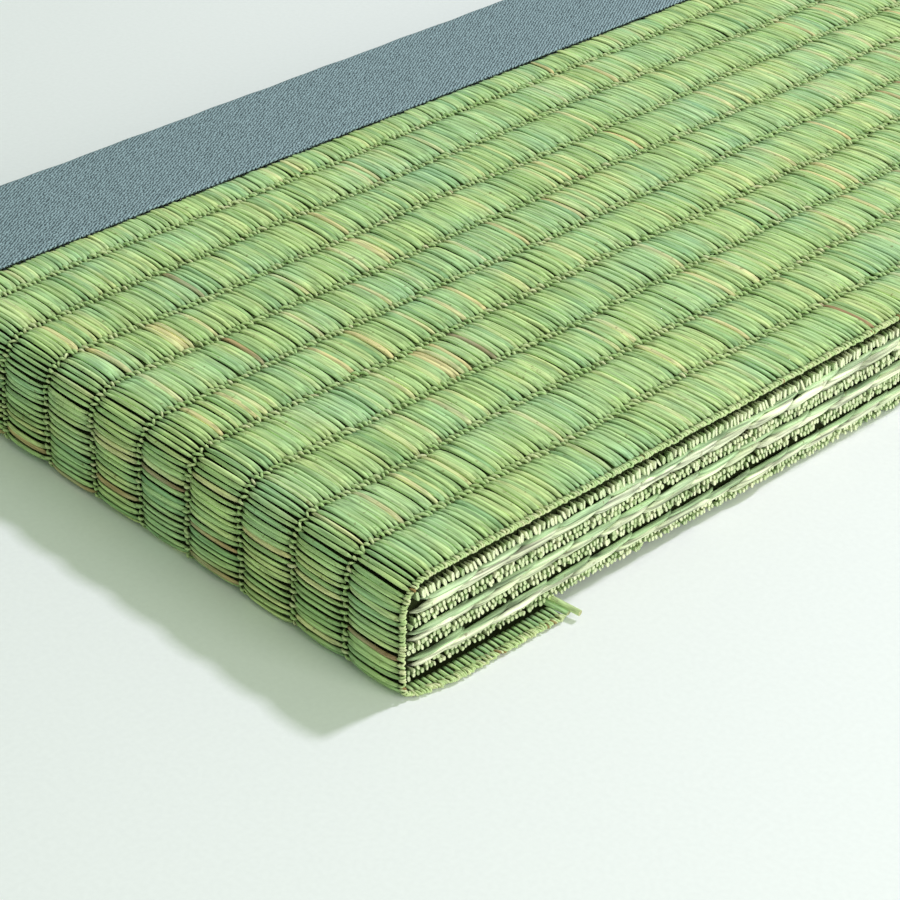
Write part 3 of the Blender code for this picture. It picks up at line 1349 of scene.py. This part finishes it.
    def long_strands(self, level: int) -> bpy.types.Object:
        """Build the plaited open edge of one layer whose rushes run along the mat.

        Args:
            level: The layer's number.
        Returns:
            The pale and green strands of the layer.
        """
        plan, near = LAYERS[level], self.chance.near
        pitch = self.sizes.bead_pitch
        reach = self.sizes.half_length - plan.end_recess
        last = reach - 0.0079
        edge = self.sizes.half_width - plan.side_recess
        seeds = Seeds()
        for index in range(-14, 15):
            for pale in (True, False):
                y = index * pitch + level * self.strand_shift + (0.0 if pale else pitch * 0.3)
                y += near(0, 0.0005)
                if abs(y) > reach + 0.004:
                    continue
                y = min(max(y, -last), last)
                bottom, top = self.span(level, y)
                scale = plan.tall * (top - bottom) / self.usual_depth
                place = edge - 0.0001 + near(0, 0.0002), y, bottom + (top - bottom) * plan.middle
                turned = near(0, 0.015), 0.0, 0.0
                size = 1.0, self.chance.between(0.9, 1.06), scale * self.chance.between(0.92, 1.05)
                variant = self.chance.under(4) + (0 if pale else 4)
                tone = self.chance.between(*((0.6, 1.0) if pale else (0.1, 0.5)))
                seeds.add(place, turned, size, variant, tone)
        shapes = self.strand_shapes()
        return self.scatter.build(f"core_strands_{level + 1}", seeds, shapes, self.strands, 0.0003, 0.006)

    def underside(self) -> bpy.types.Object:
        """Build the woven rushes under the bottom layer, between the flaps.

        Returns:
            The rushes of all columns.
        """
        sizes = self.sizes
        part = np.linspace(-1, 1, 6)
        arch = np.cos(part * np.pi / 2 * 0.96) ** 0.6
        rise = -0.0004 + 0.00035 * arch
        girths = 0.00068 * (0.55 + 0.45 * arch), 0.0003
        shapes = [
            tube(f"under_{i}", (part * 0.0079, 0.0001 * (i - 2) * arch, rise), girths, 4)
            for i in range(5)
        ]
        seeds = Seeds()
        reach = sizes.half_length - sizes.flap_reach - 0.0008
        edge = sizes.half_width - LAYERS[0].side_recess - 0.001
        pitch = 0.0015
        step = 0.001
        for column in range(12):
            right = edge - column * sizes.warp_pitch
            left = max(right - sizes.warp_pitch, 0.0015 - sizes.half_width)
            for row in range(int(2 * reach / pitch)):
                y = -reach + (row + 0.5 + 0.5 * (column % 2)) * pitch
                if y > reach:
                    continue
                slope = (sizes.core_floor(y + step) - sizes.core_floor(y - step)) / (2 * step)
                turned = math.pi + math.atan(slope), 0.0, self.chance.near(0, 0.01)
                size = (right - left) / sizes.warp_pitch, self.chance.between(0.9, 1.1), 1.0
                place = (left + right) / 2, y, sizes.core_floor(y) + 0.00032
                seeds.add(place, turned, size, self.chance.under(5), self.chance.near(0.5, 0.25, 0, 1))
        return self.scatter.build("core_underside", seeds, shapes, self.ends, 0.00005, 0.009)

    def loose_ends(self) -> bpy.types.Object:
        """Build the two short loose rushes that stick out from under the core.

        Returns:
            The two rushes.
        """
        line = (-0.014, -0.006, -0.002, 0.0), (0.0, 0.0001, 0.0, 0.0), (0.0, 0.0002, 0.0001, 0.0)
        shapes = [
            tube("loose_0", line, (0.00062, 0.00062), 10, pith=0.6),
            tube("loose_1", line, (0.00085, 0.00048), 10, pith=0.6),
        ]
        seeds = Seeds()
        near = self.sizes.rib_height - self.sizes.half_length
        edge = self.sizes.half_width
        seeds.add((edge + 0.0046, near + 0.0402, 0.0016), (0.0, 0.04, 0.16), (1, 1, 1), 0, 0.75)
        seeds.add((edge + 0.0026, near + 0.0393, 0.0011), (0.0, 0.02, 0.2), (1, 1, 1), 1, 0.35)
        return self.scatter.build("loose_rush_ends", seeds, shapes, self.rush, 0.0001, 0.006)


@dataclass
class ClothBorder:
    """The cloth border: one sheet over the top edge, the side and both ends."""

    sizes: MatSizes
    line: CoverLine
    chance: Chance
    long_steps: int = 240
    wall_steps: int = 12
    edge_round: float = 0.0016
    stitch_pitch: float = 0.0013

    def outer_run(self, offset: float) -> list[tuple[float, float, float]]:
        """Return a run of the border along the mat.

        Args:
            offset: Metres outward from the valley line.
        Returns:
            (y, z, distance along the line) at each step, from floor to floor.
        """
        marks = self.line.marks()
        low = self.sizes.border_floor_gap
        run = []
        start = self.line.at(marks[2])
        y, high = start.out(offset)
        for i in range(self.wall_steps):
            z = low + (high - low) * i / self.wall_steps
            run.append((y, z, marks[2] - (high - z)))
        for begin, end, count in (
            (marks[2], marks[3], 5),
            (marks[3], marks[4], 6),
            (marks[4], marks[5], self.long_steps),
            (marks[5], marks[6], 6),
            (marks[6], marks[7], 5),
        ):
            for i in range(count):
                distance = begin + (end - begin) * i / count
                run.append((*self.line.at(distance).out(offset), distance))
        y, high = self.line.at(marks[7]).out(offset)
        for i in range(self.wall_steps + 1):
            z = high + (low - high) * i / self.wall_steps
            run.append((y, z, marks[7] + (high - z)))
        return run

    def build(self, finish: bpy.types.Material) -> bpy.types.Object:
        """Build the border as one closed sheet with its flat map.

        Args:
            finish: The cloth's material.
        Returns:
            The sheet.
        """
        sizes = self.sizes
        face = sizes.seat + sizes.border_thickness + 0.00004
        inner = sizes.border_inner_x
        wall = -sizes.half_width
        profile = [(inner, face - 0.00045), (inner - 0.00012, face - 0.00015), (inner - 0.0005, face)]
        bend = self.edge_round
        for step in range(1, 16):
            profile.append((inner - 0.0005 + (wall + bend - inner + 0.0005) * step / 15, face))
        for step in range(1, 5):
            turn = math.pi / 2 * step / 4
            profile.append((wall + bend * (1 - math.sin(turn)), face - bend * (1 - math.cos(turn))))
        runs = [self.outer_run(offset) for _, offset in profile]
        size = len(runs[0])
        points, flat = [], []
        width = 0.0
        for k, ((x, offset), run) in enumerate(zip(profile, runs)):
            if k:
                width += math.dist(profile[k], profile[k - 1])
            for y, z, distance in run:
                points.append((x, y, z))
                flat.append((width, distance))
        faces = []
        for k in range(len(profile) - 1):
            for i in range(size - 1):
                a = k * size + i
                faces.append((a, a + 1, a + size + 1, a + size))
        self._wall(points, flat, faces, size, (len(profile) - 1) * size, width)
        mesh = mesh_of("border_cloth", np.array(points), faces)
        chart = mesh.uv_layers.new(name="flat")
        corner = np.array([flat[loop.vertex_index] for loop in mesh.loops], np.float32)
        chart.data.foreach_set("uv", corner.ravel())
        self._soften(mesh)
        piece = piece_of(mesh, finish)
        shell = piece.modifiers.new("thickness", "SOLIDIFY")
        shell.thickness = sizes.border_thickness
        shell.offset = -1.0
        graph = bpy.context.evaluated_depsgraph_get()
        made = bpy.data.meshes.new_from_object(piece.evaluated_get(graph))
        piece.modifiers.clear()
        piece.data = made
        made.name = "border_cloth"
        return piece

    def _wall(
        self,
        points: list[Triple],
        flat: list[tuple[float, float]],
        faces: list[tuple[int, ...]],
        size: int,
        first: int,
        width: float,
    ) -> None:
        """Add the side wall: a row of points across at each height of the last run.

        Args:
            points: The border's points, added to.
            flat: Their places on the flat cloth, added to.
            faces: The faces, added to.
            size: How many points a run has.
            first: The number of the last run's first point.
            width: The last run's place on the flat cloth.
        """
        rows = (size - self.long_steps) // 2 + 1
        top = points[first + size // 2][2]
        previous: list[int] = []
        for i in range(rows):
            near, far = first + i, first + size - 1 - i
            if i == rows - 1:
                row = list(range(near, far + 1))
            else:
                (x, y0, z), (_, y1, _) = points[near], points[far]
                row = [near]
                for k in range(1, self.long_steps):
                    part = k / self.long_steps
                    y = y0 + (y1 - y0) * part
                    row.append(len(points))
                    points.append((x, y, z))
                    flat.append((width + top - z, self.line.length / 2 + y))
                row.append(far)
            for k in range(len(previous) - 1):
                faces.append((previous[k], previous[k + 1], row[k + 1], row[k]))
            previous = row

    def _soften(self, mesh: bpy.types.Mesh) -> None:
        """Give the cloth slight waves, as over the rushes beneath it.

        Args:
            mesh: The cloth, whose points are moved.
        """
        for point in mesh.vertices:
            x, y, z = point.co
            wave = 0.00007 * math.sin(y * 210 + x * 90) + 0.00005 * math.sin(y * 513 - x * 300)
            if z > self.sizes.valley_top - 0.004:
                point.co.z += wave
            elif abs(y) < self.sizes.half_length - 0.004:
                point.co.x += 0.5 * abs(wave)

    def stitches(self, scatter: Scatter, finish: bpy.types.Material) -> bpy.types.Object:
        """Build the small dark stitches that hold the border's inner edge down; their near-black also
        paints the shade in the small gaps where the edge presses on the rushes.

        Args:
            scatter: The tool that repeats the shapes.
            finish: The thread's material.
        Returns:
            The stitches as one mesh object.
        """
        part = np.linspace(-1, 1, 6)
        rise = 0.0009 * (1 - part) / 2 - 0.0004
        girth = 0.00027
        shapes = [
            tube(f"stitch_{i}", (part * 0.00046, part * 0.00016 * (i - 1), rise), (girth, girth), 5)
            for i in range(3)
        ]
        seeds = Seeds()
        marks = self.line.marks()
        here = marks[1] + 0.0012
        while here < marks[8] - 0.0012:
            station = self.line.at(here)
            y, z = station.out(0.0002)
            seeds.add(
                (self.sizes.border_inner_x + 0.0002, y, z),
                (station.turn, 0.0, self.chance.near(0.3, 0.15)),
                (1.0, 1.0, 1.0),
                self.chance.under(3),
                self.chance.between(0, 1),
            )
            here += self.stitch_pitch
        return scatter.build("border_stitches", seeds, shapes, finish, 0.00005, 0.004)


@dataclass
class Studio:
    """The pale floor, the soft lights and the camera."""

    floor_colour: Triple = (0.86, 0.872, 0.89)
    floor_half: float = 3.0
    sensor_width: float = 36.0
    focal_pixels: float = 2483.8
    picture_pixels: float = 900.0

    def floor(self) -> bpy.types.Object:
        """Build the floor with a fine mottle.

        Returns:
            The floor's square.
        """
        half = self.floor_half
        corners = np.array([(-half, -half, 0), (half, -half, 0), (half, half, 0), (-half, half, 0)])
        material, make, shader = new_finish("pale_floor")
        where = make.add("ShaderNodeTexCoord").outputs["Object"]
        shade = make.ranged(make.noise(where, 900.0), 0.3, 0.7, 0.98, 1.01)
        colour = make.mix(1.0, (*self.floor_colour, 1.0), make.grey(shade), "MULTIPLY")
        make.feed(shader, {"Base Color": colour, "Roughness": 0.7, "Specular IOR Level": 0.2})
        return piece_of(mesh_of("floor", corners, [(0, 1, 2, 3)]), material)

    def light(
        self, name: str, toward: Triple, reach: float, size: float, power: float, tint: Triple
    ) -> None:
        """Add a square soft light.

        Args:
            name: The light's name.
            toward: The direction from the mat to the light.
            reach: Its distance in metres.
            size: The side of its square in metres.
            power: Its power in watts.
            tint: Its colour.
        """
        data = bpy.data.lights.new(name, "AREA")
        data.energy, data.size, data.color = power, size, tint
        item = link(bpy.data.objects.new(name, data))
        way = Vector(toward).normalized()
        item.location = way * reach
        item.rotation_euler = way.to_track_quat("Z", "Y").to_euler()

    def lights(self) -> None:
        """Add the key, the side fill and the pale surroundings."""
        self.light("key", (0.12, 0.61, 0.78), 1.6, 0.16, 17.3, (0.90, 0.84, 1.0))
        self.light("side_fill", (0.95, -0.08, 0.42), 0.9, 0.5, 4.1, (0.98, 1.0, 0.92))
        world = bpy.data.worlds.new("surroundings")
        bpy.context.scene.world = world
        bpy.context.scene.view_settings.view_transform = "Standard"
        world.use_nodes = True
        back = world.node_tree.nodes["Background"]
        back.inputs["Color"].default_value = (0.79, 1.0, 0.70, 1.0)
        back.inputs["Strength"].default_value = 0.43

    def camera(self, sizes: MatSizes) -> None:
        """Place the camera where the photograph was taken from.

        Args:
            sizes: The mat's sizes, as its place is counted in warp pitches.
        """
        data = bpy.data.cameras.new("camera")
        data.sensor_width = self.sensor_width
        data.lens = self.sensor_width * self.focal_pixels / self.picture_pixels
        data.clip_end = 20.0
        item = link(bpy.data.objects.new("camera", data))
        ahead = Vector((-0.61082, 0.58607, -0.53238)).normalized()
        right = Vector((0.69193, 0.72196, 0.00089))
        up = right.cross(ahead).normalized()
        right = ahead.cross(up).normalized()
        turned = Matrix((right, up, -ahead)).transposed().to_4x4()
        step = sizes.warp_pitch
        place = Vector(
            (
                sizes.half_width + 17.088 * step,
                0.0013 - sizes.half_length - 15.664 * step,
                sizes.valley_top + 16.477 * step,
            )
        )
        item.matrix_world = Matrix.Translation(place) @ turned
        bpy.context.scene.camera = item


def report(piece: bpy.types.Object, nodes: Sequence[str]) -> bpy.types.Object:
    """Let a piece ride on the mat and stand for nodes, and log it.

    Args:
        piece: The finished piece.
        nodes: The CAD nodes that it stands for.
    Returns:
        The piece.
    """
    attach(piece, ROOT)
    if nodes:
        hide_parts(*nodes)
    piece.data.calc_loop_triangles()
    LOG.info("%s stands for %s, %d triangles", piece.name, nodes, len(piece.data.loop_triangles))
    return piece


def dress_cover(cover: RushCover) -> None:
    """Build the woven cover, as one folded sheet with its rushes and knots.

    Args:
        cover: The maker of its pieces.
    """
    backing = report(cover.backing(), ["cover"])
    woven = [*cover.rushes(), cover.knots(), cover.selvedge(), cover.flap_inside()]
    parts = [report(piece, ["cover"]) for piece in woven]


def dress_core(core: RushCore) -> None:
    """Build the core's mats from the bottom up, each as one laid sheet with its open edge.

    Args:
        core: The maker of its pieces.
    """
    for level, plan in enumerate(LAYERS):
        across = plan.run is Run.ACROSS
        slab = report(core.slab(level), [plan.node])
        made = core.cross_ends(level) if across else core.long_strands(level)
        extra = [report(made, [plan.node])]
        if level == 0:
            extra.append(report(core.underside(), [plan.node]))
            extra.append(report(core.loose_ends(), []))


def dress_border(maker: ClothBorder, scatter: Scatter) -> None:
    """Build the cloth border, as one folded sheet with its stitches.

    Args:
        maker: The maker of its pieces.
        scatter: The tool that repeats the stitches.
    """
    border = report(maker.build(BORDER_CLOTH.build()), ["border"])
    stitches = report(maker.stitches(scatter, STITCHES.build()), ["border"])


def main() -> None:
    logging.basicConfig(level=logging.INFO, format="%(message)s")
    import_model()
    cad_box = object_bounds()
    sizes = MatSizes()
    line = CoverLine(sizes)
    scatter = Scatter()
    chance = Chance(DRAW_SEED)
    studio = Studio()
    studio.camera(sizes)
    studio.lights()
    studio.floor()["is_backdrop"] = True

    rush, knot, dark = COVER_RUSH.build(), KNOT_RUSH.build(), PAINTED_SHADE_RUSH.build()
    dress_cover(RushCover(sizes, line, scatter, chance, rush=rush, knot=knot, dark=dark))
    ends, strands = CORE_ENDS.build(), CORE_STRANDS.build()
    dress_core(RushCore(sizes, scatter, chance, ends=ends, strands=strands, rush=rush, dark=dark))
    dress_border(ClothBorder(sizes, line, chance), scatter)

    [[list(map(float, corner)) for corner in box] for box in (cad_box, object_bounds())]


if __name__ == "__main__":
    main()
